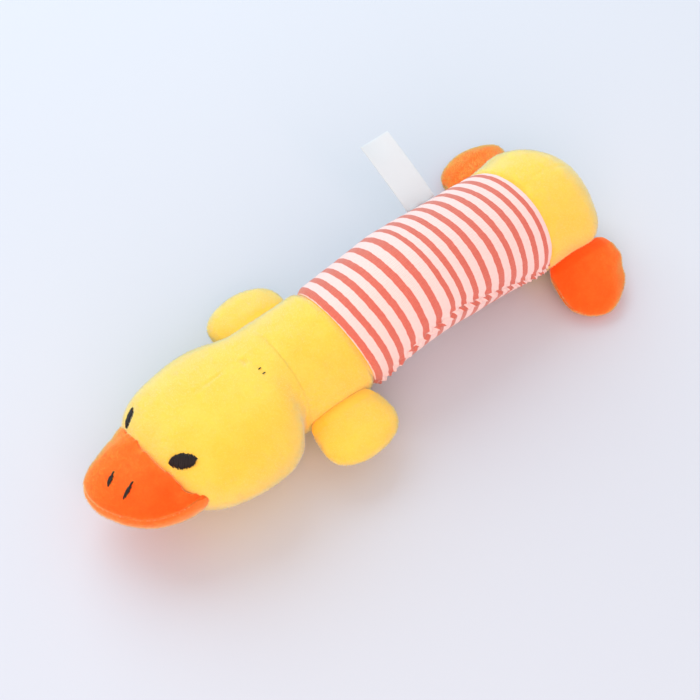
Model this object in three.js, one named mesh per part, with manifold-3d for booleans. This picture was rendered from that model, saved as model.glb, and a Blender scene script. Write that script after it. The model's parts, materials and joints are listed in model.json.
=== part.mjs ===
// Squeaky plush duck, a stuffed chew toy with a striped jersey body, lying on its belly.
// Millimetres, +Z up. The bill points along -Y, the duck's left side is +X, the floor is z = 0.
// The origin lies under the centre of the duck's bounding box.

import * as THREE from 'three';
import { mergeVertices } from 'three/addons/utils/BufferGeometryUtils.js';
import Module from 'manifold-3d';

const wasm = await Module();
wasm.setup();

// Cloth, thread and clearances
const plushWall = 2;
const jerseyWall = 0.9;
const limbWall = 1.3;
const seamGap = 0.3;
const pressDepth = 0.5;

// Torso, from the neck pivot back to the rump
const chestLength = 30.5;
const sleeveLength = 88;
const rumpLength = 40.5;
const collarRadius = 23;
const chestRadius = 23.6;
const sleeveFrontRadius = 23.1;
const waistRadius = 23;
const sleeveRearRadius = 24;
const rumpRadius = 26.6;
const chestCentreShare = 0.45;
const waistPlaceShare = 0.4;
const rumpWidestShare = 0.48;
const neckRise = 1.3;
const sleeveFrontRise = 1.3;
const waistRise = 9.3;
const sleeveRearRise = 1.7;
const waistBow = 1.6;
const sleeveRearBow = 0.4;
const rumpBow = -1.7;
const neckPitch = 4;
const chestPitch = 8;
const sleeveFrontPitch = 12.8;
const waistPitch = 4;
const sleeveRearPitch = -4.9;
const rumpPitch = -2.8;
const sleeveFrontYaw = 1;
const sleeveRearYaw = 6.1;
const rumpYaw = 12.6;
const rumpFullness = 1.5;
const rumpSlumpShare = 0.88;

// Balls of stuffing that the neck and the waist bend round
const collarOpeningAngle = 52;
const headRimDistance = 6;
const neckSocketDepth = 5;
const waistWedge = 14;
const bendGap = 0.8;

// Head, measured forward from the neck pivot
const headLength = 58.8;
const headWidth = 65.9;
const crownHeight = 22.2;
const headYaw = -0.5;
const headRoll = -11;
const headShift = 2.9;

// Bill
const billLength = 36.6;
const billRootToFace = 14.3;
const billWidth = 52.8;
const billRootHeight = 25.4;
const billRootDrop = 3.4;
const billTipDrop = 1;
const mouthRise = 1.2;
const billRoot = headLength - billRootToFace;
const billReach = billRoot + billLength;

// Eyes, nostrils and the tack stitches at the nape; the angles run up from each side
const eyeToFace = 6.8;
const eyeLeftAngle = 50;
const eyeRightAngle = 42;
const eyeTurn = 53;
const eyeLength = 10.6;
const eyeHeight = 6.2;
const eyeProud = 1;
const nostrilToTip = 8.7;
const nostrilLeftAngle = 68;
const nostrilRightAngle = 85;
const nostrilLeftTurn = -18;
const nostrilRightTurn = 28;
const nostrilLength = 6.4;
const nostrilThread = 1.3;
const nostrilProud = 0.7;
const napeStitchDistance = 9.6;
const napeStitchOuterAngle = 68;
const napeStitchInnerAngle = 73.5;
const napeStitchLength = 1.7;
const napeStitchThread = 0.8;
const napeStitchProud = 0.5;

// Wings
const wingLength = 22.3;
const wingWidth = 34.4;
const wingThickness = 14.3;
const wingRootThickness = 8;
const wingHeight = 19.5;
const wingCentreToNeck = 13;
const wingDroop = 13.7;

// Feet
const footLength = 27.2;
const footWidth = 34.8;
const footThickness = 13.0;
const footRootThickness = 8.0;
const footHeight = 12.3;
const footCentreToSleeve = 22.4;
const footDroop = 23.6;
const footSweep = -4.1;

// Sewn-in label
const labelLength = 32;
const labelWidth = 14;
const labelWall = 0.5;
const labelToSleeveRear = 28;
const labelAngle = 29.5;
const labelBend = 12;

// Squeaker in the belly stuffing
const bulbRadius = 11;
const bulbHeight = 11;
const bulbWall = 0.8;
const bulbGrooveDepth = 1.4;
const bulbGrooveHeight = 2.8;
const capsuleRadius = 3.4;
const capsuleHeight = 6.5;
const capsuleWall = 0.8;
const capsuleFlange = 1.6;
const capsuleFlangeWall = 0.8;
const clampHeight = 2;
const reedThickness = 0.3;
const reedLength = 3.4;
const squeakerClearance = 0.6;

// Facets round the body, the limbs and the small parts
const sides = 20;
const limbSides = 14;
const smallSides = 16;

const plushYellow = new THREE.Color(0.96, 0.8, 0.2);
const plushOrange = new THREE.Color(0.95, 0.38, 0.12);
const lipOrange = new THREE.Color(0.97, 0.55, 0.3);
const jerseyStripe = new THREE.Color(0.93, 0.5, 0.42);
const threadBlack = new THREE.Color(0.03, 0.03, 0.03);
const fibreWhite = new THREE.Color(0.9, 0.9, 0.88);
const ribbonWhite = new THREE.Color(0.95, 0.95, 0.95);
const vinylGrey = new THREE.Color(0.82, 0.84, 0.86);

const clothRoughness = 0.95;
const plasticRoughness = 0.4;

const duck = new THREE.Group();

const radians = THREE.MathUtils.degToRad;
const at = (x, y, z) => new THREE.Vector3(x, y, z);

// The turn by pitch about X, roll about Y and yaw about Z, in degrees
function turnBy(pitch, roll, yaw) {
  const euler = new THREE.Euler(radians(pitch), radians(roll), radians(yaw), 'ZXY');
  return new THREE.Quaternion().setFromEuler(euler);
}

// Solids: closed meshes that manifold-3d joins and cuts

function toSolid(geometry) {
  const plain = geometry.clone();
  for (const name of Object.keys(plain.attributes)) {
    if (name !== 'position') plain.deleteAttribute(name);
  }
  const merged = mergeVertices(plain);
  const vertProperties = new Float32Array(merged.attributes.position.array);
  const triVerts = new Uint32Array(merged.index.array);
  return new wasm.Manifold(new wasm.Mesh({ numProp: 3, vertProperties, triVerts }));
}

function toGeometry(solid) {
  const mesh = solid.getMesh();
  const geometry = new THREE.BufferGeometry();
  geometry.setAttribute('position', new THREE.BufferAttribute(mesh.vertProperties, 3));
  geometry.setIndex(new THREE.BufferAttribute(mesh.triVerts, 1));
  geometry.computeVertexNormals();
  return geometry;
}

function addPiece(name, solid, color, roughness = clothRoughness) {
  const material = new THREE.MeshStandardMaterial({ color, roughness, metalness: 0 });
  const mesh = new THREE.Mesh(toGeometry(solid), material);
  mesh.name = name;
  duck.add(mesh);
}

// Forms: rings of points with a flat cap at each end

function ringPoint(ring, angle) {
  const across = Math.cos(angle) * ring.wide;
  const height = Math.sin(angle) * (Math.sin(angle) > 0 ? ring.rise : ring.fall);
  return ring.centre.clone().addScaledVector(ring.side, across).addScaledVector(ring.up, height);
}

function signedVolume(points, faces) {
  let total = 0;
  for (let k = 0; k < faces.length; k += 3) {
    const [a, b, c] = [points[faces[k]], points[faces[k + 1]], points[faces[k + 2]]];
    total += a.dot(b.clone().cross(c));
  }
  return total;
}

function loft(rings, count) {
  const points = [];
  for (const ring of rings) {
    for (let k = 0; k < count; k += 1) points.push(ringPoint(ring, (2 * Math.PI * k) / count));
  }
  const first = points.length;
  points.push(rings[0].centre.clone(), rings[rings.length - 1].centre.clone());
  const faces = [];
  for (let k = 0; k < count; k += 1) {
    const next = (k + 1) % count;
    faces.push(first, k, next);
    for (let row = 0; row < rings.length - 1; row += 1) {
      const here = row * count;
      const there = here + count;
      faces.push(here + k, there + k, there + next, here + k, there + next, here + next);
    }
    const last = (rings.length - 1) * count;
    faces.push(first + 1, last + next, last + k);
  }
  if (signedVolume(points, faces) < 0) faces.reverse();
  const geometry = new THREE.BufferGeometry().setFromPoints(points);
  geometry.setIndex(faces);
  geometry.computeVertexNormals();
  return geometry;
}

// The form grown (or, with a negative distance, shrunk) along its own surface normals
function offset(form, distance) {
  const grown = form.clone();
  const { position, normal } = grown.attributes;
  for (let k = 0; k < position.count; k += 1) {
    position.setXYZ(
      k,
      position.getX(k) + normal.getX(k) * distance,
      position.getY(k) + normal.getY(k) * distance,
      position.getZ(k) + normal.getZ(k) * distance,
    );
  }
  return grown;
}

const shell = (form, wall) => toSolid(form).subtract(toSolid(offset(form, -wall)));
const filling = (form, wall) => toSolid(offset(form, -wall - seamGap));

function ball(radius, centre) {
  const geometry = new THREE.SphereGeometry(radius, sides, Math.ceil(sides / 2));
  return toSolid(geometry.translate(centre.x, centre.y, centre.z));
}

// A row of a table of shares, read between its listed places
function rowAt(shares, along) {
  const above = shares.findIndex((row) => row[0] >= along);
  const next = above < 1 ? 1 : above;
  const [low, high] = [shares[next - 1], shares[next]];
  const part = (along - low[0]) / (high[0] - low[0]);
  return low.map((value, k) => THREE.MathUtils.lerp(value, high[k], part));
}

// Thread sewn on a form: a raised oval patch that follows the surface. The place is a share of the
// form's length and an angle up from its side, and the oval is turned in the surface from there.
function stitchedPatch(form, ringAt, sign, patch) {
  const place = (along, angle) => ringPoint(ringAt(along), sign > 0 ? angle : Math.PI - angle);
  const angle = radians(patch.angle);
  const nudgeShare = 0.01;
  const centre = place(patch.along, angle);
  const ahead = place(patch.along + nudgeShare, angle);
  const forward = ahead.sub(place(patch.along - nudgeShare, angle)).normalize();
  const above = place(patch.along, angle + nudgeShare);
  const around = above.sub(place(patch.along, angle - nudgeShare)).normalize();
  const normal = forward.clone().cross(around).normalize();
  if (normal.dot(centre.clone().sub(ringAt(patch.along).centre)) < 0) normal.negate();
  const length = forward.clone().multiplyScalar(Math.cos(radians(patch.turn)));
  length.addScaledVector(around, Math.sin(radians(patch.turn)));
  length.addScaledVector(normal, -length.dot(normal)).normalize();
  const width = normal.clone().cross(length);
  const oval = new THREE.CylinderGeometry(patch.width / 2, patch.width / 2, patch.length, smallSides);
  oval.scale(patch.length / patch.width, 1, 1);
  oval.applyMatrix4(new THREE.Matrix4().makeBasis(length, normal, width.negate()));
  oval.translate(centre.x, centre.y, centre.z);
  const sewn = toSolid(offset(form, seamGap + patch.proud)).intersect(toSolid(oval));
  return sewn.subtract(toSolid(offset(form, seamGap)));
}

// The block of everything in front of a plane, seen along its normal
const blockSize = 2 * (chestLength + sleeveLength + rumpLength + billReach);

function blockBeyond(point, normal) {
  const geometry = new THREE.BoxGeometry(blockSize, blockSize, blockSize);
  geometry.translate(0, 0, blockSize / 2);
  const turn = new THREE.Quaternion().setFromUnitVectors(at(0, 0, 1), normal);
  geometry.applyQuaternion(turn).translate(point.x, point.y, point.z);
  return toSolid(geometry);
}

const floor = blockBeyond(at(0, 0, 0), at(0, 0, -1));

// Left and right halves, with the centre seam's gap between them
function sideOf(solid, point, side) {
  return solid.subtract(blockBeyond(point.clone().addScaledVector(side, seamGap / 2), side.clone().negate()));
}

// Torso

const restHeight = chestRadius - pressDepth;
const torsoLine = [
  { along: 0, x: 0, z: restHeight + neckRise, pitch: neckPitch, yaw: 0, radius: collarRadius },
  {
    along: chestLength * chestCentreShare,
    x: 0,
    z: restHeight,
    pitch: chestPitch,
    yaw: 0,
    radius: chestRadius,
  },
  {
    along: chestLength,
    x: 0,
    z: restHeight + sleeveFrontRise,
    pitch: sleeveFrontPitch,
    yaw: sleeveFrontYaw,
    radius: sleeveFrontRadius,
  },
  {
    along: chestLength + sleeveLength * waistPlaceShare,
    x: waistBow,
    z: restHeight + waistRise,
    pitch: waistPitch,
    yaw: (sleeveFrontYaw + sleeveRearYaw) / 2,
    radius: waistRadius,
  },
  {
    along: chestLength + sleeveLength,
    x: sleeveRearBow,
    z: restHeight + sleeveRearRise,
    pitch: sleeveRearPitch,
    yaw: sleeveRearYaw,
    radius: sleeveRearRadius,
  },
  {
    along: chestLength + sleeveLength + rumpLength * rumpWidestShare,
    x: rumpBow,
    z: rumpRadius * rumpSlumpShare - pressDepth,
    pitch: rumpPitch,
    yaw: rumpYaw,
    radius: rumpRadius,
  },
];
const stations = { neck: 0, chest: 1, sleeveFront: 2, waist: 3, sleeveRear: 4, rump: 5 };

const centreLine = new THREE.CatmullRomCurve3(
  torsoLine.map((s) => at(s.x, s.along, s.z)),
  false,
  'catmullrom',
);
const ringLine = new THREE.CatmullRomCurve3(
  torsoLine.map((s) => at(s.pitch, s.yaw, s.radius)),
  false,
  'catmullrom',
);

function torsoRing(station) {
  const share = station / (torsoLine.length - 1);
  const centre = centreLine.getPoint(share);
  const { x: pitch, y: yaw, z: radius } = ringLine.getPoint(share);
  const turn = turnBy(pitch, 0, yaw);
  const slumped = THREE.MathUtils.smoothstep(station, stations.sleeveRear, stations.rump);
  const slump = THREE.MathUtils.lerp(1, rumpSlumpShare, slumped);
  return {
    centre,
    side: at(1, 0, 0).applyQuaternion(turn),
    up: at(0, 0, 1).applyQuaternion(turn),
    back: at(0, 1, 0).applyQuaternion(turn),
    wide: radius,
    rise: radius * slump,
    fall: radius * slump,
  };
}

function scaledRing(ring, forward, share) {
  return {
    ...ring,
    centre: ring.centre.clone().addScaledVector(ring.back, forward),
    wide: ring.wide * share,
    rise: ring.rise * share,
    fall: ring.fall * share,
  };
}

const neckRing = torsoRing(stations.neck);
const sleeveFrontRing = torsoRing(stations.sleeveFront);
const waistRing = torsoRing(stations.waist);
const sleeveRearRing = torsoRing(stations.sleeveRear);
const rumpRing = torsoRing(stations.rump);

function torsoForm() {
  const rings = [];
  const domeSteps = 5;
  for (let k = 1; k < domeSteps; k += 1) {
    const angle = (Math.PI / 2 / domeSteps) * k;
    rings.push(scaledRing(neckRing, -collarRadius * Math.cos(angle), Math.sin(angle)));
  }
  const stepsPerStation = [2, 2, 4, 5, 2];
  stepsPerStation.forEach((steps, station) => {
    for (let k = 0; k < steps; k += 1) rings.push(torsoRing(station + k / steps));
  });
  const tail = rumpLength * (1 - rumpWidestShare);
  const tailShares = [0, 0.25, 0.48, 0.68, 0.84, 0.95, 0.995];
  for (const share of tailShares) {
    rings.push(scaledRing(rumpRing, tail * share, (1 - share ** rumpFullness) ** (1 / rumpFullness)));
  }
  return loft(rings, sides);
}

const torso = torsoForm();

const before = (ring, gap) => blockBeyond(
  ring.centre.clone().addScaledVector(ring.back, gap),
  ring.back.clone().negate(),
);
const behind = (ring, gap) => blockBeyond(ring.centre.clone().addScaledVector(ring.back, gap), ring.back);
const beyondNeckOpening = before(neckRing, -collarRadius * Math.cos(radians(collarOpeningAngle)));

const left = at(1, 0, 0);
const right = at(-1, 0, 0);
const sideNames = [['left', left], ['right', right]];

const chestSkin = shell(torso, plushWall)
  .subtract(beyondNeckOpening)
  .subtract(behind(sleeveFrontRing, -seamGap / 2))
  .subtract(floor);
const rumpSkin = shell(torso, plushWall)
  .subtract(before(sleeveRearRing, seamGap / 2))
  .subtract(floor);
for (const [name, side] of sideNames) {
  addPiece(`chest_${name}_panel`, sideOf(chestSkin, neckRing.centre, side), plushYellow);
  addPiece(`rump_${name}_panel`, sideOf(rumpSkin, rumpRing.centre, side), plushYellow);
}

const sleeve = shell(torso, jerseyWall)
  .subtract(before(sleeveFrontRing, seamGap / 2))
  .subtract(behind(sleeveRearRing, -seamGap / 2));
addPiece('striped_sleeve', sleeve, jerseyStripe);

// Head, in its own turned frame whose origin is the neck pivot

const neckPivot = neckRing.centre.clone();
const headTurn = turnBy(0, headRoll, headYaw);
const headSide = at(1, 0, 0).applyQuaternion(headTurn);
const headUp = at(0, 0, 1).applyQuaternion(headTurn);
const headBack = at(0, 1, 0).applyQuaternion(headTurn);

function headRing(distance, drop, wide, rise, fall) {
  const centre = neckPivot.clone().addScaledVector(headBack, -distance).addScaledVector(headUp, -drop);
  centre.addScaledVector(headSide, headShift);
  return { centre, side: headSide, up: headUp, back: headBack, wide, rise, fall };
}

// The rolled head's lowest point is pressed flat on the floor
const headAxisHeight = neckPivot.z + headShift * headSide.z;
const rolledReach = (headWidth / 2) * headSide.z;
const chinDepth = Math.sqrt((headAxisHeight + pressDepth) ** 2 - rolledReach ** 2) / headUp.z;

// Share of the head's length, then shares of its half width, crown height and chin depth
const headShares = [
  [0, 0.66, 0.95, 0.95],
  [0.1, 0.77, 1.03, 1.02],
  [0.19, 0.9, 1.02, 1],
  [0.3, 0.99, 1.01, 1],
  [0.44, 1, 1, 1],
  [0.58, 0.98, 0.97, 0.98],
  [0.71, 0.93, 0.91, 0.93],
  [0.83, 0.83, 0.79, 0.83],
  [0.92, 0.68, 0.61, 0.66],
  [0.98, 0.43, 0.37, 0.41],
  [1, 0.14, 0.12, 0.13],
];

function headRingAt(along) {
  const [, wide, rise, fall] = rowAt(headShares, along);
  return headRing(along * headLength, 0, (wide * headWidth) / 2, rise * crownHeight, fall * chinDepth);
}

const headForm = loft(headShares.map(([along]) => headRingAt(along)), sides);

const collarClearance = ball(collarRadius + bendGap, neckPivot);
const behindHeadRim = blockBeyond(neckPivot.clone().addScaledVector(headBack, -headRimDistance), headBack);
const headSkin = shell(headForm, plushWall).subtract(collarClearance).subtract(behindHeadRim).subtract(floor);
const crownSeam = neckPivot.clone().addScaledVector(headSide, headShift);
addPiece('head_left_panel', sideOf(headSkin, crownSeam, headSide), plushYellow);
addPiece('head_right_panel', sideOf(headSkin, crownSeam, headSide.clone().negate()), plushYellow);

// Bill: a stuffed pocket sewn on the face, in a top and a bottom panel that meet at the mouth

const billShares = [
  [0, 0.9, 1],
  [0.2, 0.98, 0.98],
  [0.38, 1, 0.92],
  [0.55, 0.96, 0.8],
  [0.7, 0.87, 0.66],
  [0.83, 0.71, 0.52],
  [0.93, 0.48, 0.38],
  [0.985, 0.24, 0.2],
  [1, 0.08, 0.07],
];

function billRingAt(along) {
  const [, wide, thick] = rowAt(billShares, along);
  const distance = THREE.MathUtils.lerp(billRoot, billReach, along);
  const drop = THREE.MathUtils.lerp(billRootDrop, billTipDrop, along);
  const half = (thick * billRootHeight) / 2;
  return headRing(distance, drop, (wide * billWidth) / 2, half, half);
}

const billForm = loft(billShares.map(([along]) => billRingAt(along)), sides);
const headClearance = toSolid(offset(headForm, seamGap));
const billRootCentre = billRingAt(0).centre;
const billForward = billRingAt(1).centre.sub(billRootCentre).normalize();
const mouthNormal = headSide.clone().cross(billForward).normalize();
if (mouthNormal.dot(headUp) < 0) mouthNormal.negate();
const mouthPoint = (gap) => billRootCentre.clone().addScaledVector(mouthNormal, mouthRise + gap);
const billSkin = shell(billForm, limbWall).subtract(headClearance);
const billTop = billSkin.subtract(blockBeyond(mouthPoint(seamGap / 2), mouthNormal.clone().negate()));
const billBottom = billSkin.subtract(blockBeyond(mouthPoint(-seamGap / 2), mouthNormal));
addPiece('bill_top_panel', billTop, plushOrange);
addPiece('bill_bottom_panel', billBottom, lipOrange);
addPiece('bill_stuffing', filling(billForm, limbWall).subtract(headClearance), fibreWhite);

// Eyes, nostrils and the two tack stitches at the nape

const eye = {
  along: 1 - eyeToFace / headLength,
  turn: eyeTurn,
  length: eyeLength,
  width: eyeHeight,
  proud: eyeProud,
};
const nostril = {
  along: 1 - nostrilToTip / billLength,
  length: nostrilLength,
  width: nostrilThread,
  proud: nostrilProud,
};
const napeStitch = {
  along: napeStitchDistance / headLength,
  turn: 90,
  length: napeStitchLength,
  width: napeStitchThread,
  proud: napeStitchProud,
};
const headStitches = [
  ['eye_left', left, { ...eye, angle: eyeLeftAngle }],
  ['eye_right', right, { ...eye, angle: eyeRightAngle }],
  ['nape_stitch_outer', left, { ...napeStitch, angle: napeStitchOuterAngle }],
  ['nape_stitch_inner', left, { ...napeStitch, angle: napeStitchInnerAngle }],
];
for (const [name, side, patch] of headStitches) {
  addPiece(name, stitchedPatch(headForm, headRingAt, side.x, patch), threadBlack);
}
const billStitches = [
  ['nostril_left', left, { ...nostril, angle: nostrilLeftAngle, turn: nostrilLeftTurn }],
  ['nostril_right', right, { ...nostril, angle: nostrilRightAngle, turn: nostrilRightTurn }],
];
for (const [name, side, patch] of billStitches) {
  addPiece(name, stitchedPatch(billForm, billRingAt, side.x, patch), threadBlack);
}

// Limbs: paddles whose rounded root turns about a hinge line along the seam

function limbFrame({ hinge, droop, sweep, mirrored }) {
  const turn = turnBy(0, droop, sweep);
  const mirror = at(mirrored ? -1 : 1, 1, 1);
  const turned = (x, y, z) => at(x, y, z).applyQuaternion(turn).multiply(mirror);
  return { hinge, out: turned(1, 0, 0), across: turned(0, 1, 0), up: turned(0, 0, 1) };
}

function limbForm(frame, { length, width, thickness, rootThickness, shares }) {
  const rootRadius = rootThickness / 2;
  const rootShares = [[0.95, 0.6], [0.6, 0.82]];
  const ring = (distance, wide, thick) => ({
    centre: frame.hinge.clone().addScaledVector(frame.out, distance),
    side: frame.across,
    up: frame.up,
    wide: (wide * width) / 2,
    rise: thick,
    fall: thick,
  });
  const root = rootShares.map(([inward, wide]) => ring(
    -rootRadius * inward,
    wide,
    rootRadius * Math.sqrt(1 - inward ** 2),
  ));
  const paddle = shares.map(([along, wide, swell, taper]) => ring(
    along * (length - rootRadius),
    wide,
    taper * (rootRadius + swell * (thickness / 2 - rootRadius)),
  ));
  return loft([...root, ...paddle], limbSides);
}

// Share of the length, of the width, how far the root has swelled to full thickness, and the tip's taper
const wingShares = [
  [0, 0.9, 0, 1],
  [0.2, 0.96, 0.6, 1],
  [0.45, 1, 1, 1],
  [0.68, 0.92, 1, 0.93],
  [0.86, 0.7, 1, 0.72],
  [0.96, 0.42, 1, 0.42],
  [1, 0.14, 1, 0.12],
];
const footShares = [
  [0, 0.92, 0, 1],
  [0.2, 0.98, 0.6, 1],
  [0.45, 1, 1, 0.98],
  [0.68, 0.91, 1, 0.87],
  [0.86, 0.69, 1, 0.67],
  [0.96, 0.42, 1, 0.42],
  [1, 0.14, 1, 0.12],
];

// The hinge line stands clear of the torso by the root's radius and the seam gap
function besideTorso(ring, height, rootThickness, sign) {
  const reach = ring.wide + seamGap + rootThickness / 2;
  const drop = ring.centre.z - height;
  const across = Math.sqrt(reach ** 2 - drop ** 2);
  return at(ring.centre.x + sign * across, ring.centre.y, height);
}

// The torso's ring whose centre lies this far behind the neck pivot, found by halving
function torsoRingBehind(along) {
  const halvings = 40;
  let low = 0;
  let high = torsoLine.length - 1;
  for (let k = 0; k < halvings; k += 1) {
    const middle = (low + high) / 2;
    if (torsoRing(middle).centre.y - neckPivot.y < along) low = middle;
    else high = middle;
  }
  return torsoRing(low);
}

const limbs = [
  {
    kind: 'wing',
    color: plushYellow,
    ring: torsoRingBehind(wingCentreToNeck),
    height: wingHeight,
    droop: wingDroop,
    sweep: 0,
    length: wingLength,
    width: wingWidth,
    thickness: wingThickness,
    rootThickness: wingRootThickness,
    shares: wingShares,
  },
  {
    kind: 'foot',
    color: plushOrange,
    ring: torsoRingBehind(chestLength + sleeveLength + footCentreToSleeve),
    height: footHeight,
    droop: footDroop,
    sweep: footSweep,
    length: footLength,
    width: footWidth,
    thickness: footThickness,
    rootThickness: footRootThickness,
    shares: footShares,
  },
];
const torsoClearance = toSolid(offset(torso, seamGap)).add(floor);
for (const limb of limbs) {
  for (const [name, side] of sideNames) {
    const hinge = besideTorso(limb.ring, limb.height, limb.rootThickness, side.x);
    const frame = limbFrame({ hinge, droop: limb.droop, sweep: limb.sweep, mirrored: side.x < 0 });
    const form = limbForm(frame, limb);
    const skin = shell(form, limbWall).subtract(torsoClearance);
    const down = frame.up.clone().negate();
    addPiece(`${limb.kind}_${name}_top_panel`, sideOf(skin, hinge, frame.up), limb.color);
    addPiece(`${limb.kind}_${name}_bottom_panel`, sideOf(skin, hinge, down), limb.color);
    addPiece(`${limb.kind}_${name}_stuffing`, filling(form, limbWall).subtract(torsoClearance), fibreWhite);
  }
}

// Stuffing of the head and the torso, with a ball at the neck and one at the waist

const neckBallRadius = collarRadius - plushWall - 2 * seamGap;
const waistBallRadius = waistRadius - jerseyWall - 2 * seamGap;
const neckSocket = ball(neckBallRadius + bendGap, neckPivot);
const waistSocket = ball(waistBallRadius + bendGap, waistRing.centre);
addPiece('neck_stuffing', ball(neckBallRadius, neckPivot), fibreWhite);
addPiece('waist_stuffing', ball(waistBallRadius, waistRing.centre), fibreWhite);

const headFilling = filling(headForm, plushWall).subtract(collarClearance).subtract(behindHeadRim);
addPiece('head_stuffing', headFilling.subtract(floor), fibreWhite);

const sleeveFilling = filling(torso, jerseyWall)
  .subtract(before(sleeveFrontRing, seamGap))
  .subtract(behind(sleeveRearRing, -seamGap));
const torsoFilling = filling(torso, plushWall).add(sleeveFilling).subtract(floor);
const chestStuffing = torsoFilling
  .subtract(before(neckRing, neckSocketDepth))
  .subtract(neckSocket)
  .subtract(behind(waistRing, -waistWedge / 2))
  .subtract(waistSocket);
addPiece('chest_stuffing', chestStuffing, fibreWhite);

// Squeaker: a blow-moulded bulb lying flat, with a reed capsule pressed into the hole in its base

const behindWaistBall = sleeveLength * (1 - waistPlaceShare) - waistBallRadius;
const squeakerToSleeveRear = behindWaistBall / 2;
const squeakerPlace = sleeveRearRing.centre.clone();
squeakerPlace.addScaledVector(sleeveRearRing.back, -squeakerToSleeveRear);
const bulbBase = squeakerPlace.z - bulbHeight / 2;
const pocketRadius = bulbRadius + squeakerClearance;
const pocketHeight = bulbHeight + capsuleFlangeWall + 2 * squeakerClearance + seamGap;
const pocketDrop = (capsuleFlangeWall + seamGap) / 2;
const pocketCentre = squeakerPlace.clone().addScaledVector(at(0, 0, 1), -pocketDrop);

function pocket() {
  const round = new THREE.CylinderGeometry(pocketRadius, pocketRadius, pocketHeight, smallSides);
  round.rotateX(Math.PI / 2).translate(pocketCentre.x, pocketCentre.y, pocketCentre.z);
  const wayOut = squeakerToSleeveRear + sleeveRearRadius;
  const way = new THREE.BoxGeometry(2 * pocketRadius, wayOut, pocketHeight);
  way.translate(pocketCentre.x, pocketCentre.y + wayOut / 2, pocketCentre.z);
  return toSolid(round).add(toSolid(way));
}

const bellyStuffing = torsoFilling
  .subtract(before(waistRing, waistWedge / 2))
  .subtract(waistSocket)
  .subtract(behind(sleeveRearRing, -seamGap / 2))
  .subtract(pocket());
addPiece('belly_stuffing', bellyStuffing, fibreWhite);
addPiece('rump_stuffing', torsoFilling.subtract(before(sleeveRearRing, seamGap / 2)), fibreWhite);

// A solid turned about the vertical through the squeaker, from points given as radius and height
function turned(points) {
  const closed = [...points, points[0]].map(([radius, height]) => new THREE.Vector2(radius, height));
  const geometry = new THREE.LatheGeometry(closed, smallSides);
  geometry.rotateX(Math.PI / 2).translate(squeakerPlace.x, squeakerPlace.y, bulbBase);
  return toSolid(geometry);
}

const bulbHole = capsuleRadius + seamGap;
const bulbInner = bulbRadius - bulbWall;
const grooveInner = bulbInner - bulbGrooveDepth;
const grooveMiddle = bulbHeight / 2;
const grooveHalf = bulbGrooveHeight / 2;
const bulb = turned([
  [bulbHole, 0],
  [bulbRadius, 0],
  [bulbRadius, grooveMiddle - grooveHalf],
  [bulbRadius - bulbGrooveDepth, grooveMiddle],
  [bulbRadius, grooveMiddle + grooveHalf],
  [bulbRadius, bulbHeight],
  [0, bulbHeight],
  [0, bulbHeight - bulbWall],
  [bulbInner, bulbHeight - bulbWall],
  [bulbInner, grooveMiddle + grooveHalf],
  [grooveInner, grooveMiddle],
  [bulbInner, grooveMiddle - grooveHalf],
  [bulbInner, bulbWall],
  [bulbHole, bulbWall],
]);
addPiece('squeaker_bulb', bulb, vinylGrey, plasticRoughness);

const capsuleBore = capsuleRadius - capsuleWall;
const flangeTop = -seamGap;
const flangeBottom = flangeTop - capsuleFlangeWall;
const capsuleTop = flangeBottom + capsuleHeight;
const capsule = turned([
  [capsuleBore, flangeBottom],
  [capsuleRadius + capsuleFlange, flangeBottom],
  [capsuleRadius + capsuleFlange, flangeTop],
  [capsuleRadius, flangeTop],
  [capsuleRadius, capsuleTop],
  [capsuleBore, capsuleTop],
]);
addPiece('squeaker_reed_capsule', capsule, vinylGrey, plasticRoughness);

// The reed stands on edge in the capsule's bore, its foot held against a half-round clamp
const insertRadius = capsuleBore - seamGap;
const clampCylinder = new THREE.CylinderGeometry(insertRadius, insertRadius, clampHeight, smallSides);
clampCylinder.rotateX(Math.PI / 2).translate(0, 0, flangeBottom + clampHeight / 2);
clampCylinder.translate(squeakerPlace.x, squeakerPlace.y, bulbBase);
const reedFace = squeakerPlace.clone().addScaledVector(at(0, 1, 0), seamGap);
const clamp = toSolid(clampCylinder).subtract(blockBeyond(reedFace, at(0, -1, 0)));
addPiece('squeaker_reed_clamp', clamp, vinylGrey, plasticRoughness);

const reedWidth = 2 * insertRadius * Math.sqrt(1 - (2 * reedThickness / insertRadius) ** 2);
const reed = new THREE.BoxGeometry(reedWidth, reedThickness, reedLength);
const reedFoot = bulbBase + flangeBottom + seamGap;
reed.translate(squeakerPlace.x, squeakerPlace.y - reedThickness / 2, reedFoot + reedLength / 2);
addPiece('squeaker_reed', toSolid(reed), ribbonWhite, plasticRoughness);

// Label: a bare ribbon that stands out from the sleeve's right side, bending a little downwards

const labelRing = torsoRingBehind(chestLength + sleeveLength - labelToSleeveRear);
const labelSteps = 6;
const labelOutline = [];
for (let k = 0; k <= labelSteps; k += 1) {
  const out = (labelLength * k) / labelSteps;
  const drop = labelLength * Math.tan(radians(labelBend)) * (k / labelSteps) ** 2;
  labelOutline.push([out, -drop / 2]);
}
const labelPoints = [
  ...labelOutline.map(([out, height]) => new THREE.Vector2(out, height + labelWall / 2)),
  ...labelOutline.reverse().map(([out, height]) => new THREE.Vector2(out, height - labelWall / 2)),
];
const ribbon = new THREE.ExtrudeGeometry(new THREE.Shape(labelPoints), {
  depth: labelWidth,
  bevelEnabled: false,
});
const labelNormal = at(-Math.cos(radians(labelAngle)), 0, Math.sin(radians(labelAngle)));
const labelUp = at(Math.sin(radians(labelAngle)), 0, Math.cos(radians(labelAngle)));
const labelBase = labelRing.centre.clone().addScaledVector(labelNormal, labelRing.wide + 2 * seamGap);
ribbon.translate(0, 0, -labelWidth / 2);
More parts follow.
